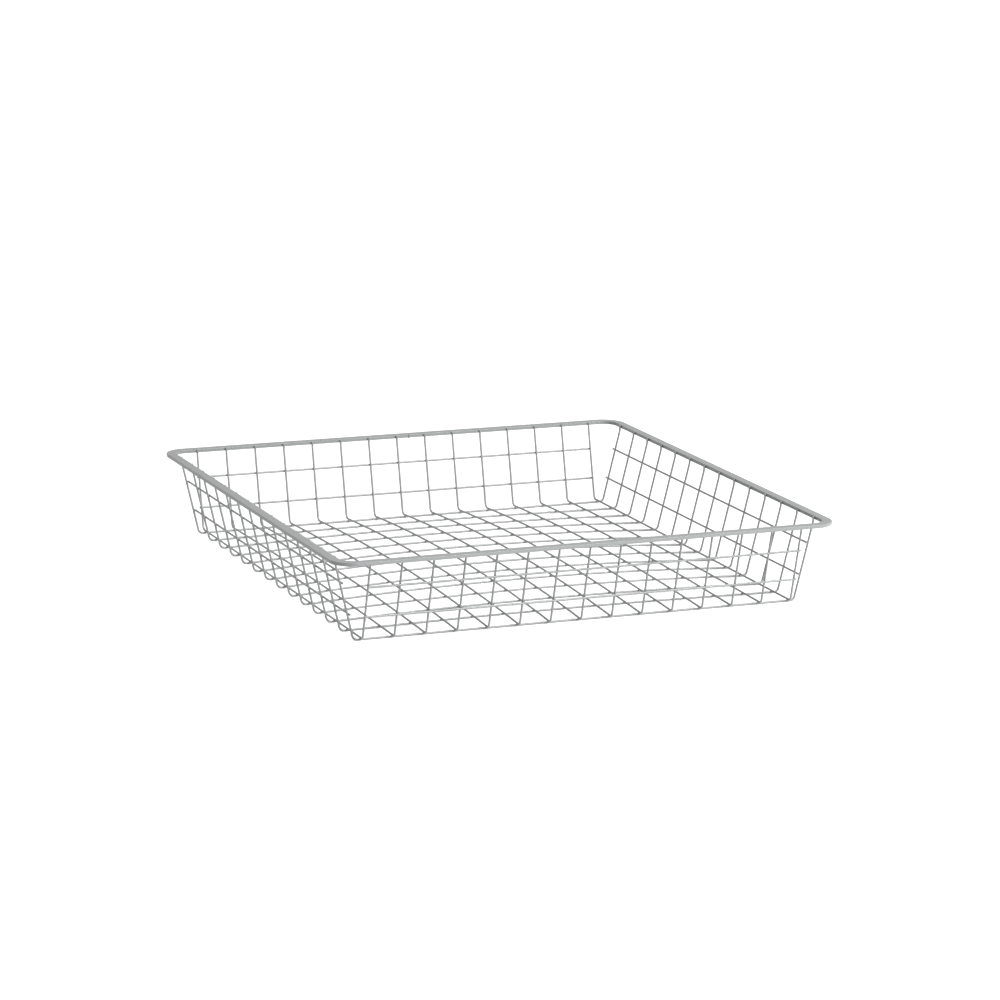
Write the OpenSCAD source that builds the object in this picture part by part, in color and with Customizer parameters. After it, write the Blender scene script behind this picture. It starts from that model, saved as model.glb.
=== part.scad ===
// Wire drawer basket for a locker or a runner frame: a shallow open box of
// bent steel wires, welded at every crossing and to a flat-bar rim.
// X runs left to right, -Y is the front, Z is up. The origin is on the surface
// that the basket stands on, under its middle.

/* [Overall size] */
// Outside size of the rim from left to right
rim_x = 533; // [440:1:560]
// Outside size of the rim from front to back
rim_y = 551; // [460:1:580]
// Height from the lowest wire to the top of the rim
height = 86.5; // [75:0.5:150]

/* [Rim bar] */
// Width of the flat bar that the rim is bent from
bar_w = 10; // [6:0.5:14]
// Thickness of the flat bar
bar_t = 3.4; // [2.4:0.1:4]
// Radius along the bar's edges
bar_edge = 0.4; // [0.3:0.1:1.1]
// Outside radius of the rim's corners
corner_r = 24; // [16:1:34]

/* [Wires] */
// Diameter of every wire
wire_d = 2.1; // [1.6:0.1:3]
// Radius of the bend between floor and wall, at the wire's centre
bend_r = 5; // [3.5:0.5:9]
// Radius that turns a wall wire upright below the rim, at its centre
top_r = 15; // [10:1:40]
// How far the wire tips stay below the top of the rim
tip_drop = 0.4; // [0:0.1:1]
// Space left between two wires that are welded together
weld_gap = 0.03; // [0.03:0.01:0.2]

/* [Mesh] */
// Number of wires that run from side to side
cross_count = 14; // [8:1:16]
// Number of wires that run from front to back
long_count = 15; // [8:1:17]
// Lean of the left and right walls from upright, in degrees
side_lean = 13.7; // [8:0.1:18]
// Lean of the front and back walls from upright, in degrees
end_lean = 14.3; // [8:0.1:18]
// How far the outermost floor wires lie inside the floor bends
edge_in = 3.1; // [2:0.1:8]
// Height of the floor's crown at the middle
crown = 8.5; // [3:0.1:14]
// How far a short wire runs past the last upright wire
overhang = 1.6; // [1.2:0.1:6]

/* [Short wires] */
// Height of the left wall's lower short wire
left_low_z = 26.6; // [20:0.2:32]
// Height of the left wall's upper short wire
left_high_z = 58.4; // [45:0.2:62]
// Height of the right wall's lower short wire
right_low_z = 28; // [20:0.2:32]
// Height of the right wall's upper short wire
right_high_z = 60; // [45:0.2:62]
// Height of the front wall's lower short wire
front_low_z = 26.8; // [20:0.2:32]
// Height of the front wall's upper short wire
front_high_z = 58; // [45:0.2:62]
// Height of the back wall's lower short wire
back_low_z = 25.4; // [20:0.2:32]
// Height of the back wall's upper short wire
back_high_z = 57; // [45:0.2:62]

/* [Look] */
// Colour of the coated rim
rim_colour = "silver"; // [silver, gainsboro, white, dimgray]
// Colour of the coated wires
wire_colour = "darkgray"; // [darkgray, silver, white, dimgray]

/* [Hidden] */
// Extra diameter of a bend, where the wire upsets a little as it is bent
bend_swell = 0.04;
// Length by which straight runs reach into a bend
lap = 0.3;
// Straight tip between the upright bend and the underside of the rim
tip_run = 0.5;
// Facets of a wire's section and of a bend
section_fn = 32;
sweep_fn = 96;

// Inside half sizes of the rim
rim_in_x = rim_x / 2 - bar_w;
rim_in_y = rim_y / 2 - bar_w;

// Centre heights of the two layers on the floor, cross wires below. The bends
// of the cross wires are what the basket stands on
cross_z = (wire_d + bend_swell) / 2;
long_z = cross_z + wire_d + weld_gap;

// Centre of the wire tips, which stand against the rim's inner edge
tip_x = rim_in_x - wire_d / 2 - weld_gap;
tip_y = rim_in_y - wire_d / 2 - weld_gap;
tip_z = height - tip_drop;
// Height where the upright bend ends
upright_z = height - bar_t - tip_run;

// Height where a wall leaves its floor bend and where its upright bend begins
function wall_low(floor_z, lean) = floor_z + bend_r - bend_r * sin(lean);
function wall_high(lean) = upright_z - top_r * sin(lean);

// Distance from a floor bend's centre to the wire tip above it
function wall_run(floor_z, lean) =
    bend_r * cos(lean)
    + (wall_high(lean) - wall_low(floor_z, lean)) * tan(lean)
    + top_r * (1 - cos(lean));

// Centres of the floor bends, across and along
cross_reach = tip_x - wall_run(cross_z, side_lean);
long_reach = tip_y - wall_run(long_z, end_lean);

// Place of wire i of a row of n, spread evenly over the floor
function spread(i, n, reach) = reach * (2 * (i - 1) / (n - 1) - 1);
function cross_y(i) = spread(i, cross_count, long_reach - edge_in);
function long_x(i) = spread(i, long_count, cross_reach - edge_in);

// The floor is crowned both ways, so a wire's own crown falls off from the
// middle of the floor to nothing at the bends
function fall(at, reach) = crown * (1 - pow(at / reach, 2));

// Distance of a wall's centre line from the middle at height z
function wall_at(z, floor_z, reach, lean) =
    reach + bend_r * cos(lean) + (z - wall_low(floor_z, lean)) * tan(lean);

// Short wires lie inside the side walls and outside the end walls
layer_step = wire_d + weld_gap;
function side_wire_x(z) =
    wall_at(z, cross_z, cross_reach, side_lean) - layer_step / cos(side_lean);
function end_wire_y(z) =
    wall_at(z, long_z, long_reach, end_lean) + layer_step / cos(end_lean);

// Node names
function numbered(stem, i) = str(stem, i < 10 ? "_0" : "_", i);
CROSS_WIRES = [for (i = [1 : cross_count]) numbered("cross_wire", i)];
LONG_WIRES = [for (i = [1 : long_count]) numbered("long_wire", i)];
WALL_WIRES = [
    "left_wall_wire_low", "left_wall_wire_high",
    "right_wall_wire_low", "right_wall_wire_high",
    "front_wall_wire_low", "front_wall_wire_high",
    "back_wall_wire_low", "back_wall_wire_high"
];

// Round wire bent in the XZ plane about the origin, from angle a by sweep
module wire_arc(r, a, sweep, d) {
    rotate([90, 0, 0])
        rotate_extrude(angle = sweep, start = a, $fn = sweep_fn)
            translate([r, 0])
                circle(d = d, $fn = section_fn);
}

// Straight round wire that starts at the origin, along Z
module wire_straight(length) {
    cylinder(d = wire_d, h = length, $fn = section_fn);
}

// One end of a bent wire: floor bend, leaning wall run, upright bend and tip
module wire_end(reach, floor_z, lean, slope) {
    low = wall_low(floor_z, lean);
    high = wall_high(lean);
    translate([reach, 0, floor_z + bend_r])
        wire_arc(bend_r, -90 - slope, 90 + slope - lean, wire_d + bend_swell);
    translate([reach + bend_r * cos(lean), 0, low])
        rotate([0, lean, 0])
            translate([0, 0, -lap])
                wire_straight((high - low) / cos(lean) + 2 * lap);
    tip = reach + wall_run(floor_z, lean);
    translate([tip - top_r, 0, upright_z])
        wire_arc(top_r, -lean, lean, wire_d + bend_swell);
    translate([tip, 0, upright_z - lap])
        wire_straight(tip_z - upright_z + lap);
}

// Floor run of a bent wire: an arc that rises by rise at the middle and meets
// both floor bends in line
module wire_floor(reach, floor_z, rise, slope) {
    arc_r = (reach * reach + rise * rise) / (2 * rise) - bend_r;
    half_sweep = slope + lap / arc_r * 180 / PI;
    translate([0, 0, floor_z + rise])
        translate([0, 0, -arc_r])
            wire_arc(arc_r, 90 - half_sweep, 2 * half_sweep, wire_d);
}

// A whole bent wire in the XZ plane, from one rim to the other
module bent_wire(reach, floor_z, lean, rise) {
    slope = asin(2 * reach * rise / (reach * reach + rise * rise));
    union() {
        wire_floor(reach, floor_z, rise, slope);
        wire_end(reach, floor_z, lean, slope);
        mirror([1, 0, 0])
            wire_end(reach, floor_z, lean, slope);
    }
}

// Wire i of those that run from side to side, counted from the front
module cross_wire(i) {
    color(wire_colour)
        translate([0, cross_y(i), 0])
            bent_wire(cross_reach, cross_z, side_lean, fall(cross_y(i), long_reach));
}

// Wire i of those that run from front to back, counted from the left
module long_wire(i) {
    color(wire_colour)
        translate([long_x(i), 0, 0])
            rotate([0, 0, 90])
                bent_wire(long_reach, long_z, end_lean, fall(long_x(i), cross_reach));
}

// Short wire on the left wall (side = -1) or the right wall (side = 1)
module side_wall_wire(side, z) {
    half = long_reach - edge_in + overhang;
    color(wire_colour)
        translate([side * side_wire_x(z), half, z])
            rotate([90, 0, 0])
                wire_straight(2 * half);
}

// Short wire on the front wall (side = -1) or the back wall (side = 1)
module end_wall_wire(side, z) {
    half = cross_reach - edge_in + overhang;
    color(wire_colour)
        translate([-half, side * end_wire_y(z), z])
            rotate([0, 90, 0])
                wire_straight(2 * half);
}

// Section of the rim's bar: flat faces and rounded edges. Its outer side is at
// x = 0, its top at y = 0
module bar_section() {
    union() {
        for (x = [-bar_edge, -bar_w + bar_edge])
            for (y = [-bar_edge, -bar_t + bar_edge])
                translate([x, y])
                    circle(r = bar_edge, $fn = section_fn);
        translate([-bar_w, -bar_t + bar_edge])
            square([bar_w, bar_t - 2 * bar_edge]);
        translate([-bar_w + bar_edge, -bar_t])
            square([bar_w - 2 * bar_edge, bar_t]);
    }
}

// Straight side of the rim from the origin along Y, outer edge towards +X
module bar_straight(length) {
    translate([0, length, 0])
        rotate([90, 0, 0])
            linear_extrude(length)
                bar_section();
}

// Rim: flat bar bent round four corners and closed by a butt weld at the back
module rim() {
    turn_x = rim_x / 2 - corner_r;
    turn_y = rim_y / 2 - corner_r;
    color(rim_colour)
        translate([0, 0, height])
            union() {
                for (side = [0, 180])
                    rotate([0, 0, side]) {
                        translate([rim_x / 2, -turn_y, 0])
                            bar_straight(2 * turn_y);
                        translate([turn_x, rim_y / 2, 0])
                            rotate([0, 0, 90])
                                bar_straight(2 * turn_x);
                        translate([turn_x, turn_y, 0])
                            rim_corner();
                        translate([-turn_x, turn_y, 0])
                            rotate([0, 0, 90])
                                rim_corner();
                    }
            }
}

// One corner of the rim, a quarter turn from +X to +Y about the origin
module rim_corner() {
    rotate_extrude(angle = 90, $fn = sweep_fn)
        translate([corner_r, 0])
            bar_section();
}

rim();
for (i = [1 : cross_count])
    cross_wire(i);
for (i = [1 : long_count])
    long_wire(i);
side_wall_wire(-1, left_low_z);  // left_wall_wire_low
side_wall_wire(-1, left_high_z);  // left_wall_wire_high
side_wall_wire(1, right_low_z);  // right_wall_wire_low
side_wall_wire(1, right_high_z);  // right_wall_wire_high
end_wall_wire(-1, front_low_z);  // front_wall_wire_low
end_wall_wire(-1, front_high_z);  // front_wall_wire_high
end_wall_wire(1, back_low_z);  // back_wall_wire_low
end_wall_wire(1, back_high_z);  // back_wall_wire_high
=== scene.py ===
"""Looks of a wire drawer basket for a locker or a runner frame.

The basket is a shallow open box of bent steel wires, welded at every crossing
and to a rim of flat bar, and coated silver-grey as a whole. Each wire and the
rim are swept here as smooth meshes that stand for the CAD nodes, and the welds
that join them are added. Lengths are in metres, in the frame of the CAD part:
X runs left to right, -Y is the front and Z is up.
"""

import logging
import math
from dataclasses import dataclass, field
from enum import Enum

import bpy
from mathutils import Matrix, Vector


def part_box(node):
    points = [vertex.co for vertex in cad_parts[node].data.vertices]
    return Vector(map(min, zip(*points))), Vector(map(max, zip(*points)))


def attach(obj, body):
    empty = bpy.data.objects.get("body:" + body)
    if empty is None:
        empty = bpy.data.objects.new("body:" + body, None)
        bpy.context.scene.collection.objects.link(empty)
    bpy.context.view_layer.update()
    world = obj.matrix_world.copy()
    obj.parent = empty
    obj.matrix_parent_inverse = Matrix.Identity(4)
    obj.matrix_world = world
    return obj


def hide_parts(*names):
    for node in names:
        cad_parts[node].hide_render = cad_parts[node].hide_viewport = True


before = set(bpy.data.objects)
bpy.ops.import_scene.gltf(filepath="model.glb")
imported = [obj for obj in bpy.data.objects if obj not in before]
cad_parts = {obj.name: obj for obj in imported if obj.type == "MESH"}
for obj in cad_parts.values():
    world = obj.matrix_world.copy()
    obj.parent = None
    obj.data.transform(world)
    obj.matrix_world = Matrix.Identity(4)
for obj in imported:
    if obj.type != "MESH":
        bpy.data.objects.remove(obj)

MM = 0.001
ROOT = "root"

log = logging.getLogger("basket")


class Wall(Enum):
    """A wall of the basket: the axis across it and the side it is on."""

    LEFT = ("x", -1)
    RIGHT = ("x", 1)
    FRONT = ("y", -1)
    BACK = ("y", 1)

    @property
    def axis(self) -> str:
        """The axis that the wall faces, x or y."""
        return self.value[0]

    @property
    def side(self) -> int:
        """-1 or 1, the wall's side of the middle."""
        return self.value[1]

    def point(self, out: float, along: float, up: float) -> Vector:
        """A point given from the wall's side.

        Args:
            out: Distance from the middle of the basket towards the wall.
            along: Place along the wall, on the basket's own axis.
            up: Height.

        Returns:
            The point in the row frame.
        """
        if self.axis == "x":
            return Vector((self.side * out, along, up))
        return Vector((along, self.side * out, up))


class Slot(Enum):
    """Material slots."""

    RIM = "rim_steel"
    WIRE = "wire_steel"


# ---------------------------------------------------------------- meshes


def make_piece(
    name: str,
    points: list[Vector],
    faces: list[tuple[int, ...]],
    material: bpy.types.Material,
    replaces: str | None = None,
) -> bpy.types.Object:
    """Makes a smooth mesh object that rides with the basket.

    Args:
        name: Name of the piece.
        points: Vertices in the row frame.
        faces: Faces as vertex numbers.
        material: Finish of the piece.
        replaces: CAD node that the piece stands for, if any.

    Returns:
        The new object.
    """
    mesh = bpy.data.meshes.new(name)
    mesh.from_pydata([tuple(p) for p in points], [], faces)
    mesh.validate()
    mesh.shade_smooth()
    mesh.materials.append(material)
    piece = bpy.data.objects.new(name, mesh)
    bpy.context.scene.collection.objects.link(piece)
    if replaces:
        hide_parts(replaces)
    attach(piece, ROOT)
    return piece


class MeshParts:
    """Vertices and faces of several closed forms that make one piece."""

    def __init__(self) -> None:
        """Starts with no forms."""
        self.points: list[Vector] = []
        self.faces: list[tuple[int, ...]] = []

    def add_rings(self, rings: list[list[Vector]], closed: bool = False) -> None:
        """Adds a skin over rings of equal count, with a fan at either end.

        Args:
            rings: Rings of points, each turning the same way.
            closed: True where the last ring joins the first again.
        """
        start = len(self.points)
        count = len(rings[0])
        for ring in rings:
            self.points.extend(ring)
        last = len(rings) if closed else len(rings) - 1
        for r in range(last):
            low = start + r * count
            high = start + (r + 1) % len(rings) * count
            for k in range(count):
                n = (k + 1) % count
                self.faces.append((low + k, low + n, high + n, high + k))
        if closed:
            return
        for ring, first in ((rings[0], start), (rings[-1], start + (len(rings) - 1) * count)):
            middle = sum(ring, Vector()) / count
            self.points.append(middle)
            centre = len(self.points) - 1
            for k in range(count):
                pair = (first + k, first + (k + 1) % count)
                if first == start:
                    pair = pair[::-1]
                self.faces.append((pair[0], pair[1], centre))


# ---------------------------------------------------------------- wires


@dataclass(frozen=True)
class WireStock:
    """Round wire that the mesh of the basket is bent from."""

    diameter: float = 2.1 * MM
    sides: int = 16
    tip_round: float = 0.4 * MM
    tip_rings: int = 4

    @property
    def radius(self) -> float:
        """Half the diameter."""
        return self.diameter / 2

    def sweep(self, line: list[Vector], across: Vector) -> MeshParts:
        """Sweeps the wire along a line that lies in one plane.

        Args:
            line: Points of the centre line, from end to end.
            across: Unit normal of the plane that the line lies in.

        Returns:
            The wire as a closed form with rounded tips.
        """
        tangents = []
        for i in range(len(line)):
            before = line[max(i - 1, 0)]
            after = line[min(i + 1, len(line) - 1)]
            tangents.append((after - before).normalized())
        line = line.copy()
        line[0] = line[0] + tangents[0] * self.tip_round
        line[-1] = line[-1] - tangents[-1] * self.tip_round
        rings = self.tip(line[0], -tangents[0], tangents[0], across)[::-1]
        for point, tangent in zip(line, tangents):
            rings.append(self.ring(point, tangent, across, self.radius))
        rings += self.tip(line[-1], tangents[-1], tangents[-1], across)
        parts = MeshParts()
        parts.add_rings(rings)
        return parts

    def ring(self, at: Vector, tangent: Vector, across: Vector, radius: float) -> list[Vector]:
        """One ring of the wire's skin.

        Args:
            at: Centre of the ring.
            tangent: Unit direction of the wire.
            across: Unit normal of the plane that the wire lies in.
            radius: Radius of the ring.

        Returns:
            The ring's points.
        """
        out = tangent.cross(across)
        points = []
        for k in range(self.sides):
            turn = 2 * math.pi * k / self.sides
            points.append(at + (across * math.cos(turn) + out * math.sin(turn)) * radius)
        return points

    def tip(self, at: Vector, outward: Vector, tangent: Vector, across: Vector) -> list[list[Vector]]:
        """Rings that round off a cut end, from the wire outwards."""
        rings = []
        for k in range(1, self.tip_rings + 1):
            turn = math.pi / 2 * k / self.tip_rings
            radius = self.radius - self.tip_round * (1 - math.cos(turn))
            rings.append(
                self.ring(at + outward * self.tip_round * math.sin(turn), tangent, across, radius)
            )
        return rings


@dataclass(frozen=True)
class Bend:
    """How the wires of one layer are bent, from the floor up to the rim."""

    floor_z: float
    tip_out: float
    tip_z: float
    lean: float
    upright_z: float
    floor_radius: float = 5 * MM
    upright_radius: float = 15 * MM

    @property
    def low_z(self) -> float:
        """Height where the wall leaves the floor bend."""
        return self.floor_z + self.floor_radius * (1 - math.sin(self.lean))

    @property
    def high_z(self) -> float:
        """Height where the wall begins to turn upright."""
        return self.upright_z - self.upright_radius * math.sin(self.lean)

    @property
    def reach(self) -> float:
        """Distance of the floor bend's centre from the middle."""
        run = self.floor_radius * math.cos(self.lean)
        run += (self.high_z - self.low_z) * math.tan(self.lean)
        run += self.upright_radius * (1 - math.cos(self.lean))
        return self.tip_out - run

    def wall_out(self, z: float) -> float:
        """Distance of the wall's centre line from the middle at a height."""
        return self.tip_out - self.upright_radius * (1 - math.cos(self.lean)) - (
            self.high_z - z
        ) * math.tan(self.lean)

    def floor_at(self, s: float, rise: float) -> float:
        """Height of the floor run at distance s from the middle.

        Args:
            s: Distance from the middle, along the wire.
            rise: How far the wire's middle stands above its ends.

        Returns:
            Height of the wire's centre.
        """
        if rise <= 0:
            return self.floor_z
        radius = self.floor_arc(rise)
        return self.floor_z + rise - radius + math.sqrt(radius * radius - s * s)

    def floor_arc(self, rise: float) -> float:
        """Radius of the floor run that has this rise at its middle."""
        return (self.reach**2 + rise**2) / (2 * rise) - self.floor_radius

    def half_line(self, rise: float, floor_steps: int = 36, bend_steps: int = 12) -> list[tuple[float, float]]:
        """Centre line from the middle of the floor out to the tip.

        Args:
            rise: How far the wire's middle stands above its ends.
            floor_steps: Steps of the floor run.
            bend_steps: Steps of each bend.

        Returns:
            Points as distance from the middle and height.
        """
        slope = 0.0
        line = []
        if rise > 0:
            radius = self.floor_arc(rise)
            slope = math.asin(2 * self.reach * rise / (self.reach**2 + rise**2))
            for k in range(floor_steps + 1):
                s = radius * math.sin(slope * k / floor_steps)
                line.append((s, self.floor_at(s, rise)))
        else:
            for k in range(floor_steps + 1):
                line.append((self.reach * k / floor_steps, self.floor_z))
        turn = math.pi / 2 + slope - self.lean
        for k in range(1, bend_steps + 1):
            angle = -math.pi / 2 - slope + turn * k / bend_steps
            line.append(
                (
                    self.reach + self.floor_radius * math.cos(angle),
                    self.floor_z + self.floor_radius * (1 + math.sin(angle)),
                )
            )
        wall_steps = 8
        for k in range(1, wall_steps + 1):
            z = self.low_z + (self.high_z - self.low_z) * k / wall_steps
            line.append((self.wall_out(z), z))
        for k in range(1, bend_steps + 1):
            angle = -self.lean * (1 - k / bend_steps)
            line.append(
                (
                    self.tip_out - self.upright_radius * (1 - math.cos(angle)),
                    self.upright_z + self.upright_radius * math.sin(angle),
                )
            )
        line.append((self.tip_out, self.tip_z))
        return line


@dataclass
class Shape:
    """Sizes of the basket, from the CAD frame and a few driving values."""

    wire: WireStock = field(default_factory=WireStock)
    bar_width: float = 10 * MM
    bar_thickness: float = 3.4 * MM
    bar_edge: float = 0.4 * MM
    corner_radius: float = 24 * MM
    tip_drop: float = 0.4 * MM
    weld_gap: float = 0.03 * MM
    bend_swell: float = 0.04 * MM
    tip_run: float = 0.5 * MM
    side_lean: float = math.radians(13.7)
    end_lean: float = math.radians(14.3)
    crown: float = 8.5 * MM
    edge_in: float = 3.1 * MM

    def __post_init__(self) -> None:
        """Reads the overall sizes from the rim of the frame."""
        low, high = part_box("rim")
        self.half_x = high.x
        self.half_y = high.y
        self.height = high.z
        self.cross_nodes = sorted(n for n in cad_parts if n.startswith("cross_wire"))
        self.long_nodes = sorted(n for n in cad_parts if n.startswith("long_wire"))
        cross_z = self.wire.radius + self.bend_swell / 2
        drop = self.bar_width + self.wire.radius + self.weld_gap
        upright_z = self.height - self.bar_thickness - self.tip_run
        tip_z = self.height - self.tip_drop
        self.layer_step = self.wire.diameter + self.weld_gap
        self.cross = Bend(cross_z, self.half_x - drop, tip_z, self.side_lean, upright_z)
        self.long = Bend(
            cross_z + self.layer_step, self.half_y - drop, tip_z, self.end_lean, upright_z
        )

    def cross_y(self, number: int) -> float:
        """Place of a cross wire, counted from 0 at the front."""
        return self.spread(number, len(self.cross_nodes), self.long.reach - self.edge_in)

    def long_x(self, number: int) -> float:
        """Place of a long wire, counted from 0 at the left."""
        return self.spread(number, len(self.long_nodes), self.cross.reach - self.edge_in)

    def cross_rise(self, number: int) -> float:
        """Rise of a cross wire's middle."""
        return self.fall(self.cross_y(number), self.long.reach)

    def long_rise(self, number: int) -> float:
        """Rise of a long wire's middle."""
        return self.fall(self.long_x(number), self.cross.reach)

    def fall(self, at: float, reach: float) -> float:
        """Crown of the floor at a wire's place, none at the edges."""
        rise = self.crown * (1 - (at / reach) ** 2)
        return rise if rise > 1e-6 else 0.0

    @staticmethod
    def spread(number: int, count: int, reach: float) -> float:
        """Place of one of count wires that are spread evenly over a reach."""
        return reach * (2 * number / (count - 1) - 1)


@dataclass
class WireMesh:
    """All wires of the basket."""

    shape: Shape
    material: bpy.types.Material
    wall_steps: int = 60

    def build(self) -> int:
        """Builds every wire.

        Returns:
            The number of wires.
        """
        shape = self.shape
        for number, node in enumerate(shape.cross_nodes):
            line = self.whole(shape.cross.half_line(shape.cross_rise(number)))
            y = shape.cross_y(number)
            self.wire(node, [Vector((s, y, z)) for s, z in line], Vector((0, 1, 0)))
        for number, node in enumerate(shape.long_nodes):
            line = self.whole(shape.long.half_line(shape.long_rise(number)))
            x = shape.long_x(number)
            self.wire(node, [Vector((x, s, z)) for s, z in line], Vector((1, 0, 0)))
        walls = [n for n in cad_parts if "_wall_wire_" in n]
        for node in sorted(walls):
            self.wall_wire(node)
        return len(shape.cross_nodes) + len(shape.long_nodes) + len(walls)

    @staticmethod
    def whole(half: list[tuple[float, float]]) -> list[tuple[float, float]]:
        """The whole centre line of a wire from the half on the plus side."""
        return [(-s, z) for s, z in half[:0:-1]] + half

    def wall_wire(self, node: str) -> None:
        """Builds a short straight wire in the place of its CAD node."""
        low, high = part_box(node)
        middle = (low + high) / 2
        along = Vector((1, 0, 0)) if high.x - low.x > high.y - low.y else Vector((0, 1, 0))
        half = (high - low).dot(along) / 2
        line = []
        for k in range(self.wall_steps + 1):
            line.append(middle + along * half * (2 * k / self.wall_steps - 1))
        self.wire(node, line, Vector((0, 0, 1)))

    def wire(self, node: str, line: list[Vector], across: Vector) -> None:
        """Sweeps one wire and puts it in the place of its CAD node."""
        parts = self.shape.wire.sweep(line, across)
        piece = make_piece(
            "coated_" + node, parts.points, parts.faces, self.material, node
        )
        check_place(piece, node)


def check_place(piece: bpy.types.Object, node: str, slack: float = 0.15 * MM) -> None:
    """Warns where a piece leaves the box of the node that it stands for."""
    low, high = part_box(node)
    corners = [piece.matrix_world @ v.co for v in piece.data.vertices]
    for axis in range(3):
        least = min(c[axis] for c in corners)
        most = max(c[axis] for c in corners)
        if abs(least - low[axis]) > slack or abs(most - high[axis]) > slack:
            log.warning(
                "%s: axis %d runs %.2f to %.2f mm, node %.2f to %.2f mm",
                piece.name,
                axis,
                least / MM,
                most / MM,
                low[axis] / MM,
                high[axis] / MM,
            )


# ---------------------------------------------------------------- rim


@dataclass
class Rim:
    """Rim of flat bar with rounded edges, closed by a butt weld at the back."""

    shape: Shape
    material: bpy.types.Material
    side_steps: int = 60
    corner_steps: int = 20
    edge_steps: int = 5
    shoulder: float = 0.1 * MM

    def build(self) -> None:
        """Builds the rim in the place of its CAD node."""
        parts = MeshParts()
        parts.add_rings(self.rings(), closed=True)
        piece = make_piece(
            "coated_rim", parts.points, parts.faces, self.material, "rim"
        )
        check_place(piece, "rim")

    def section(self) -> list[tuple[float, float]]:
        """Section of the bar as distance in from its outer edge and depth.

        A shoulder on either side of each rounded edge keeps the flats' shading flat.
        """
        width, thick, edge = self.shape.bar_width, self.shape.bar_thickness, self.shape.bar_edge
        corners = (
            (edge, edge, 0.5),
            (edge, thick - edge, 1.0),
            (width - edge, thick - edge, 1.5),
            (width - edge, edge, 0.0),
        )
        points = []
        for inset, depth, start in corners:
            arc = []
            for k in range(self.edge_steps + 1):
                turn = math.pi * (start + 0.5 * k / self.edge_steps)
                arc.append((inset + edge * math.cos(turn), depth - edge * math.sin(turn)))
            enter = math.pi * (start - 0.5)
            leave = math.pi * (start + 1)
            points.append(self.beside(arc[0], enter))
            points += arc
            points.append(self.beside(arc[-1], leave))
        return points

    def beside(self, point: tuple[float, float], turn: float) -> tuple[float, float]:
        """A point on the flat beside a rounded edge."""
        return (
            point[0] + self.shoulder * math.cos(turn),
            point[1] - self.shoulder * math.sin(turn),
        )

    def rings(self) -> list[list[Vector]]:
        """Rings of the section all the way round the rim."""
        shape = self.shape
        section = self.section()
        rings = []
        for at, outward in self.outline():
            rings.append(
                [Vector((*(at - outward * inset), shape.height - depth)) for inset, depth in section]
            )
        return rings

    def outline(self) -> list[tuple[Vector, Vector]]:
        """Outer line of the rim, as points and outward directions in XY."""
        shape = self.shape
        radius = shape.corner_radius
        line = []
        for quarter in range(4):
            turn = Matrix.Rotation(quarter * math.pi / 2, 2)
            half_out, half_along = shape.half_x, shape.half_y
            if quarter % 2:
                half_out, half_along = half_along, half_out
            run = half_along - radius
            for k in range(self.side_steps):
                along = run * (2 * k / self.side_steps - 1)
                line.append((turn @ Vector((half_out, along)), turn @ Vector((1, 0))))
            for k in range(self.corner_steps):
                angle = math.pi / 2 * k / self.corner_steps
                way = Vector((math.cos(angle), math.sin(angle)))
                centre = Vector((half_out - radius, run))
                line.append((turn @ (centre + way * radius), turn @ way))
        return line


# ---------------------------------------------------------------- welds


@dataclass
class ButtWeld:
    """Weld that closes the rim, dressed flush outside and left raised inside."""

    rim: Rim
    place: float = 14.6 * MM
    half_run: float = 0.8 * MM
    bulge: float = 0.8 * MM
    sink: float = 0.06 * MM
    steps: int = 10

    def build(self, material: bpy.types.Material) -> None:
        """Builds the weld across the bar of the back rim."""
        shape = self.rim.shape
        section = self.rim.section()
        rings = []
        for k in range(self.steps + 1):
            share = 2 * k / self.steps - 1
            raised = self.bulge * math.cos(share * math.pi / 2) - self.sink
            ring = []
            for inset, depth in section:
                ring.append(
                    Vector(
                        (
                            self.place - share * self.half_run,
                            shape.half_y - self.swell(inset, shape.bar_width, raised),
                            shape.height - self.swell(depth, shape.bar_thickness, raised),
                        )
                    )
                )
            rings.append(ring)
        parts = MeshParts()
        parts.add_rings(rings)
        make_piece("rim_butt_weld", parts.points, parts.faces, material)

    def swell(self, at: float, full: float, raised: float) -> float:
        """A distance into the bar, from just under its skin to the raised far side."""
        return self.sink + at * (full + raised - self.sink) / full


@dataclass(frozen=True)
class CrossWeld:
    """Metal that joins two crossing wires: a collar with a hollow waist."""

    radius: float
    reach: float = 0.62 * MM
    corner: float = 0.12 * MM
    waist: float = 0.1 * MM
    sink: float = 0.08 * MM
    sides: int = 16
    levels: int = 6

    def rings(self, at: Vector, first: Vector, second: Vector, gap: float) -> list[list[Vector]]:
        """Rings of the collar, from the first wire to the second.

        Args:
            at: Middle between the two wires.
            first: Unit direction of the first wire.
            second: Unit direction of the second wire.
            gap: Distance between the wires' centre lines.

        Returns:
            Rings of points, from inside the first wire to inside the second.
        """
        up = first.cross(second).normalized()
        half = gap / 2
        rings = []
        for level in range(self.levels + 1):
            share = level / self.levels
            pull = self.waist * math.sin(math.pi * share)
            ring = []
            for k in range(self.sides):
                turn = 2 * math.pi * k / self.sides
                way = first * math.cos(turn) + second * math.sin(turn)
                out = self.reach + self.corner * math.sin(2 * turn) ** 2
                low = -half + self.crest(out * math.sin(turn)) - self.sink
                high = half - self.crest(out * math.cos(turn)) + self.sink
                ring.append(at + way * (out - pull) + up * (low + (high - low) * share))
            rings.append(ring)
        return rings

    def crest(self, aside: float) -> float:
        """Height of a wire's skin over its centre line, beside its crest."""
        return math.sqrt(max(self.radius**2 - aside**2, 0.0))


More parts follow.
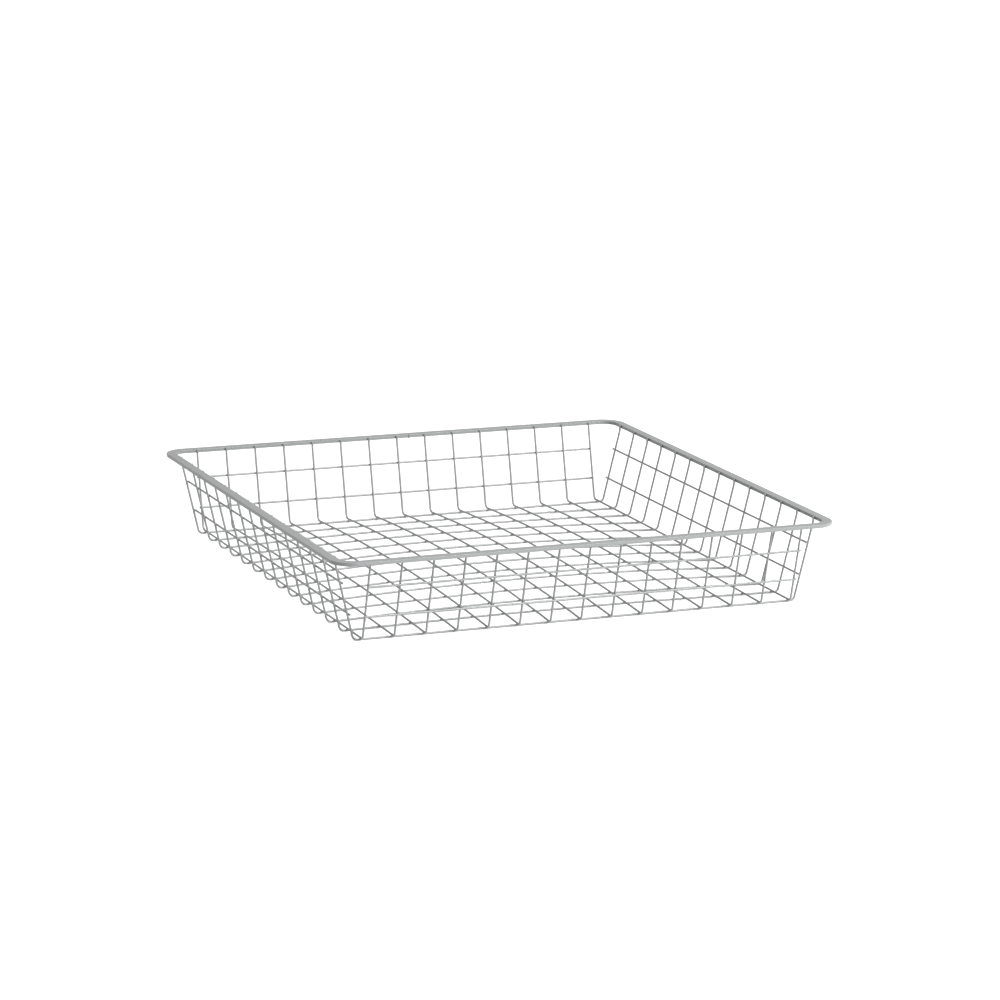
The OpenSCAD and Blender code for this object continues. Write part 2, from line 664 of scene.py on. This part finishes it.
@dataclass
class Welds:
    """Welds of the wires with each other and with the rim."""

    shape: Shape
    material: bpy.types.Material

    def build(self) -> int:
        """Builds the welds, one piece for each field of the basket.

        Returns:
            The number of welds.
        """
        made = self.floor_welds()
        for wall in Wall:
            made += self.wall_welds(wall)
            made += self.rim_welds(wall)
        return made

    def floor_welds(self) -> int:
        """Welds where cross wires and long wires meet on the floor."""
        shape = self.shape
        weld = CrossWeld(shape.wire.radius)
        parts = MeshParts()
        made = 0
        for i in range(len(shape.long_nodes)):
            for j in range(len(shape.cross_nodes)):
                x, y = shape.long_x(i), shape.cross_y(j)
                low = shape.cross.floor_at(x, shape.cross_rise(j))
                high = shape.long.floor_at(y, shape.long_rise(i))
                at = Vector((x, y, (low + high) / 2))
                parts.add_rings(weld.rings(at, Vector((1, 0, 0)), Vector((0, 1, 0)), high - low))
                made += 1
        make_piece("floor_welds", parts.points, parts.faces, self.material)
        return made

    def wall_welds(self, wall: Wall) -> int:
        """Welds of one wall's two short wires with its upright wires."""
        shape = self.shape
        bend = shape.cross if wall.axis == "x" else shape.long
        weld = CrossWeld(shape.wire.radius)
        inward = -1 if wall.axis == "x" else 1
        parts = MeshParts()
        made = 0
        for level in ("low", "high"):
            low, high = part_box(f"{wall.name.lower()}_wall_wire_{level}")
            middle = (low + high) / 2
            out = wall.side * (middle.x if wall.axis == "x" else middle.y)
            normal = (math.cos(bend.lean), -math.sin(bend.lean))
            step = shape.layer_step * inward
            for place in self.places(wall):
                at = wall.point(
                    out - normal[0] * step / 2, place, middle.z - normal[1] * step / 2
                )
                along = wall.point(0, 1, 0)
                upright = wall.point(math.sin(bend.lean), 0, math.cos(bend.lean))
                first, second = upright, along
                facing = wall.point(normal[0] * inward, 0, normal[1] * inward)
                if first.cross(second).dot(facing) < 0:
                    second = -second
                parts.add_rings(weld.rings(at, first, second, shape.layer_step))
                made += 1
        name = f"{wall.name.lower()}_wall_welds"
        make_piece(name, parts.points, parts.faces, self.material)
        return made

    def rim_welds(self, wall: Wall) -> int:
        """Beads that join the wire tips of one wall to the rim."""
        shape = self.shape
        bend = shape.cross if wall.axis == "x" else shape.long
        bead = RimBead()
        parts = MeshParts()
        made = 0
        for place in self.places(wall):
            rings = bead.rings(wall, bend.tip_out, place, shape.height)
            parts.add_rings(rings)
            made += 1
        name = f"{wall.name.lower()}_rim_welds"
        make_piece(name, parts.points, parts.faces, self.material)
        return made

    def places(self, wall: Wall) -> list[float]:
        """Places of the upright wires along a wall."""
        shape = self.shape
        if wall.axis == "x":
            return [shape.cross_y(n) for n in range(len(shape.cross_nodes))]
        return [shape.long_x(n) for n in range(len(shape.long_nodes))]


@dataclass(frozen=True)
class RimBead:
    """Bead that runs from a wire's tip to the inner edge of the rim."""

    top_drop: float = 0.32 * MM
    depth: float = 3.0 * MM
    across: float = 1.12 * MM
    inner: float = 1.04 * MM
    outer: float = 1.3 * MM
    flare: float = 0.15
    sides: int = 16
    levels: int = 8

    def rings(self, wall: Wall, out: float, place: float, height: float) -> list[list[Vector]]:
        """Rings of one bead, from the top down.

        Args:
            wall: Wall that the wire belongs to.
            out: Distance of the wire's tip from the middle of the basket.
            place: Place of the wire along the wall.
            height: Height of the rim's top.

        Returns:
            Rings of points, smallest at the top and at the bottom.
        """
        rings = []
        for level in range(1, self.levels):
            share = level / self.levels
            turn = math.pi * share**0.8
            size = math.sin(turn) ** 0.75
            z = height - self.top_drop - self.depth * (1 - math.cos(turn)) / 2
            ring = []
            for k in range(self.sides):
                angle = 2 * math.pi * k / self.sides
                toward = math.cos(angle)
                reach = self.outer if toward > 0 else self.inner
                across = self.across * (1 + self.flare * max(toward, 0.0))
                ring.append(
                    wall.point(
                        out + reach * size * toward,
                        place + across * size * math.sin(angle),
                        z,
                    )
                )
            rings.append(ring)
        return rings


# ---------------------------------------------------------------- finishes


def new_group(name: str, inputs: dict[str, float | tuple], outputs: dict[str, str]) -> bpy.types.NodeTree:
    """Makes an empty shader node group with named sockets.

    Args:
        name: Name of the group.
        inputs: Name and default of each input; a tuple makes a colour.
        outputs: Name and socket type of each output.

    Returns:
        The group, holding only its input and output nodes.
    """
    group = bpy.data.node_groups.new(name, "ShaderNodeTree")
    for label, value in inputs.items():
        kind = "NodeSocketColor" if isinstance(value, tuple) else "NodeSocketFloat"
        socket = group.interface.new_socket(label, in_out="INPUT", socket_type=kind)
        socket.default_value = value
    for label, kind in outputs.items():
        group.interface.new_socket(label, in_out="OUTPUT", socket_type=kind)
    group.nodes.new("NodeGroupInput").name = "in"
    group.nodes.new("NodeGroupOutput").name = "out"
    return group


def coat_group() -> bpy.types.NodeTree:
    """Shared skin of a sprayed metallic coat: tone, gloss and orange peel."""
    group = new_group(
        "SprayedCoat",
        {
            "Colour": (0.4, 0.41, 0.41, 1.0),
            "Tone Spread": 0.1,
            "Roughness": 0.4,
            "Roughness Spread": 0.08,
            "Flake Size": 2500.0,
            "Cloud Size": 25.0,
        },
        {
            "Colour": "NodeSocketColor",
            "Roughness": "NodeSocketFloat",
            "Height": "NodeSocketFloat",
        },
    )
    nodes, links = group.nodes, group.links
    start, end = nodes["in"], nodes["out"]
    place = nodes.new("ShaderNodeTexCoord")

    cloud = nodes.new("ShaderNodeTexNoise")
    cloud.inputs["Detail"].default_value = 3.0
    links.new(place.outputs["Object"], cloud.inputs["Vector"])
    links.new(start.outputs["Cloud Size"], cloud.inputs["Scale"])

    flake = nodes.new("ShaderNodeTexVoronoi")
    links.new(place.outputs["Object"], flake.inputs["Vector"])
    links.new(start.outputs["Flake Size"], flake.inputs["Scale"])

    peel = nodes.new("ShaderNodeTexNoise")
    peel.inputs["Scale"].default_value = 900.0
    peel.inputs["Detail"].default_value = 2.0
    links.new(place.outputs["Object"], peel.inputs["Vector"])

    blend = math_node(nodes, "MULTIPLY_ADD", b=0.65)
    links.new(cloud.outputs["Fac"], blend.inputs[0])
    share = math_node(nodes, "MULTIPLY", b=0.35)
    tint = nodes.new("ShaderNodeSeparateColor")
    links.new(flake.outputs["Color"], tint.inputs["Color"])
    links.new(tint.outputs["Red"], share.inputs[0])
    links.new(share.outputs[0], blend.inputs[2])

    centred = math_node(nodes, "SUBTRACT", b=0.5)
    links.new(blend.outputs[0], centred.inputs[0])
    spread = math_node(nodes, "MULTIPLY")
    links.new(centred.outputs[0], spread.inputs[0])
    links.new(start.outputs["Tone Spread"], spread.inputs[1])
    level = math_node(nodes, "ADD", b=1.0)
    links.new(spread.outputs[0], level.inputs[0])
    colour = nodes.new("ShaderNodeVectorMath")
    colour.operation = "SCALE"
    links.new(start.outputs["Colour"], colour.inputs[0])
    links.new(level.outputs[0], colour.inputs["Scale"])
    links.new(colour.outputs[0], end.inputs["Colour"])

    rough = math_node(nodes, "MULTIPLY_ADD")
    links.new(centred.outputs[0], rough.inputs[0])
    links.new(start.outputs["Roughness Spread"], rough.inputs[1])
    links.new(start.outputs["Roughness"], rough.inputs[2])
    links.new(rough.outputs[0], end.inputs["Roughness"])
    links.new(peel.outputs["Fac"], end.inputs["Height"])
    return group


def math_node(nodes: bpy.types.Nodes, operation: str, b: float | None = None) -> bpy.types.Node:
    """A Math node, with its second value set where one is given."""
    node = nodes.new("ShaderNodeMath")
    node.operation = operation
    if b is not None:
        node.inputs[1].default_value = b
    return node


@dataclass(frozen=True)
class CoatFinish:
    """Silver-grey coat over steel."""

    name: str
    colour: tuple[float, float, float]
    roughness: float
    metallic: float
    tone_spread: float = 0.1
    rough_spread: float = 0.1
    bump: float = 0.04
    cloud_size: float = 25.0

    def material(self, coat: bpy.types.NodeTree) -> bpy.types.Material:
        """Builds the material.

        Args:
            coat: The shared skin of the coat.

        Returns:
            The finished material.
        """
        made = bpy.data.materials.new(self.name)
        made.use_nodes = True
        nodes, links = made.node_tree.nodes, made.node_tree.links
        shader = nodes["Principled BSDF"]
        shader.inputs["Metallic"].default_value = self.metallic
        skin = nodes.new("ShaderNodeGroup")
        skin.node_tree = coat
        skin.inputs["Colour"].default_value = (*self.colour, 1.0)
        skin.inputs["Tone Spread"].default_value = self.tone_spread
        skin.inputs["Roughness"].default_value = self.roughness
        skin.inputs["Roughness Spread"].default_value = self.rough_spread
        skin.inputs["Cloud Size"].default_value = self.cloud_size
        links.new(skin.outputs["Colour"], shader.inputs["Base Color"])
        links.new(skin.outputs["Roughness"], shader.inputs["Roughness"])
        bump = nodes.new("ShaderNodeBump")
        bump.inputs["Strength"].default_value = self.bump
        bump.inputs["Distance"].default_value = 0.1 * MM
        links.new(skin.outputs["Height"], bump.inputs["Height"])
        links.new(bump.outputs["Normal"], shader.inputs["Normal"])
        return made


# ---------------------------------------------------------------- studio


@dataclass(frozen=True)
class SoftBox:
    """One soft lamp that looks at the basket."""

    name: str
    place: tuple[float, float, float]
    size: float
    watts: float
    mirrored: bool = True

    def build(self) -> None:
        """Makes the lamp, kept out of the glossy reflections if not mirrored."""
        data = bpy.data.lights.new(self.name, "AREA")
        data.shape = "DISK"
        data.size = self.size
        data.energy = self.watts
        lamp = bpy.data.objects.new(self.name, data)
        lamp.location = self.place
        lamp.visible_glossy = self.mirrored
        lamp.rotation_mode = "QUATERNION"
        lamp.rotation_quaternion = (-Vector(self.place)).to_track_quat("-Z", "Y")
        bpy.context.scene.collection.objects.link(lamp)


@dataclass
class Studio:
    """Pale floor, plain surroundings and soft lamps."""

    floor_size: float = 60.0
    floor_colour: float = 0.8
    glow_near: float = 0.6
    glow_far: float = 1.0
    far: float = 1.5
    fill: float = 0.15
    lamps: tuple[SoftBox, ...] = (
        SoftBox("key_lamp", (1.2, -2.45, 2.8), 2.75, 185.0),
        SoftBox("front_lamp", (3.4, -3.2, 0.7), 0.9, 128.0, mirrored=False),
    )

    def build(self) -> None:
        """Makes the floor, the world and the lamps."""
        bpy.context.scene.view_settings.view_transform = "Standard"
        self.world()
        self.floor()
        for lamp in self.lamps:
            lamp.build()

    @staticmethod
    def seen_directly(nodes: bpy.types.Nodes, links: bpy.types.NodeLinks) -> bpy.types.NodeSocket:
        """A mask that is 1 for camera, glossy and transmission rays."""
        path = nodes.new("ShaderNodeLightPath")
        first = math_node(nodes, "MAXIMUM")
        links.new(path.outputs["Is Camera Ray"], first.inputs[0])
        links.new(path.outputs["Is Glossy Ray"], first.inputs[1])
        both = math_node(nodes, "MAXIMUM")
        links.new(first.outputs[0], both.inputs[0])
        links.new(path.outputs["Is Transmission Ray"], both.inputs[1])
        return both.outputs[0]

    def world(self) -> None:
        """White surroundings to look at, with a plain level of fill light."""
        world = bpy.data.worlds.new("studio_air")
        bpy.context.scene.world = world
        world.use_nodes = True
        nodes, links = world.node_tree.nodes, world.node_tree.links
        back = nodes["Background"]
        back.inputs["Color"].default_value = (1.0, 1.0, 1.0, 1.0)
        level = nodes.new("ShaderNodeMapRange")
        level.inputs["To Min"].default_value = self.fill
        level.inputs["To Max"].default_value = 1.0
        links.new(self.seen_directly(nodes, links), level.inputs["Value"])
        links.new(level.outputs["Result"], back.inputs["Strength"])

    def glow_level(self, nodes: bpy.types.Nodes, links: bpy.types.NodeLinks) -> bpy.types.NodeSocket:
        """Glow of the floor, which makes up for the lamps' fall-off far away."""
        place = nodes.new("ShaderNodeTexCoord")
        length = nodes.new("ShaderNodeVectorMath")
        length.operation = "LENGTH"
        links.new(place.outputs["Object"], length.inputs[0])
        level = nodes.new("ShaderNodeMapRange")
        level.inputs["From Min"].default_value = 0.5
        level.inputs["From Max"].default_value = self.far
        level.inputs["To Min"].default_value = self.glow_near
        level.inputs["To Max"].default_value = self.glow_far
        links.new(length.outputs["Value"], level.inputs["Value"])
        return level.outputs["Result"]

    def floor(self) -> None:
        """A plain pale floor that keeps the basket's shadow."""
        half = self.floor_size / 2
        mesh = bpy.data.meshes.new("studio_floor")
        corners = [(-half, -half, 0), (half, -half, 0), (half, half, 0), (-half, half, 0)]
        mesh.from_pydata(corners, [], [(0, 1, 2, 3)])
        floor = bpy.data.objects.new("studio_floor", mesh)
        bpy.context.scene.collection.objects.link(floor)
        material = bpy.data.materials.new("pale_floor")
        material.use_nodes = True
        nodes, links = material.node_tree.nodes, material.node_tree.links
        shader = nodes["Principled BSDF"]
        grey = self.floor_colour
        shader.inputs["Base Color"].default_value = (grey, grey, grey, 1.0)
        shader.inputs["Roughness"].default_value = 1.0
        shader.inputs["Specular IOR Level"].default_value = 0.0
        shader.inputs["Emission Color"].default_value = (1.0, 1.0, 1.0, 1.0)
        glow = math_node(nodes, "MULTIPLY")
        links.new(self.seen_directly(nodes, links), glow.inputs[0])
        links.new(self.glow_level(nodes, links), glow.inputs[1])
        links.new(glow.outputs[0], shader.inputs["Emission Strength"])
        mesh.materials.append(material)


@dataclass(frozen=True)
class PhotoCamera:
    """Camera at the photograph's angle."""

    azimuth: float = math.radians(-22.5377)
    elevation: float = math.radians(12.7295)
    roll: float = math.radians(0.7856)
    lens: float = 141.23
    aside: float = 13.343 * MM
    above: float = 69.134 * MM
    away: float = 4074.45 * MM

    def build(self) -> None:
        """Makes the camera and sets it as the scene's own."""
        sin, cos = math.sin, math.cos
        back = Vector(
            (
                sin(self.azimuth) * cos(self.elevation),
                -cos(self.azimuth) * cos(self.elevation),
                sin(self.elevation),
            )
        )
        level = Vector((cos(self.azimuth), sin(self.azimuth), 0))
        upright = back.cross(level)
        right = level * cos(self.roll) + upright * sin(self.roll)
        up = upright * cos(self.roll) - level * sin(self.roll)
        data = bpy.data.cameras.new("photo_camera")
        data.lens = self.lens
        data.clip_end = 50.0
        camera = bpy.data.objects.new("photo_camera", data)
        turn = Matrix((right, up, back)).transposed()
        camera.matrix_world = Matrix.Translation(
            right * self.aside + up * self.above + back * self.away
        ) @ turn.to_4x4()
        bpy.context.scene.collection.objects.link(camera)
        bpy.context.scene.camera = camera


# ---------------------------------------------------------------- basket


def main() -> None:
    """Builds the basket and the studio."""
    logging.basicConfig(level=logging.INFO, format="%(name)s: %(message)s")
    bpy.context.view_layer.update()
    coat = coat_group()
    rim_coat = CoatFinish("rim_coat", (0.26, 0.27, 0.27), 0.38, 0.15).material(coat)
    wire_coat = CoatFinish("wire_coat", (0.267, 0.275, 0.275), 0.36, 0.2).material(coat)
    weld_coat = CoatFinish("weld_coat", (0.25, 0.258, 0.258), 0.3, 0.3, bump=0.12).material(coat)
    shape = Shape()
    rim = Rim(shape, rim_coat)
    rim.build()
    ButtWeld(rim).build(weld_coat)
    log.info("rim: one bar with four bends and a butt weld")
    wires = WireMesh(shape, wire_coat).build()
    log.info("wires: %d", wires)
    welds = Welds(shape, weld_coat).build()
    log.info("welds: %d", welds)
    Studio().build()
    PhotoCamera().build()


if __name__ == "__main__":
    main()
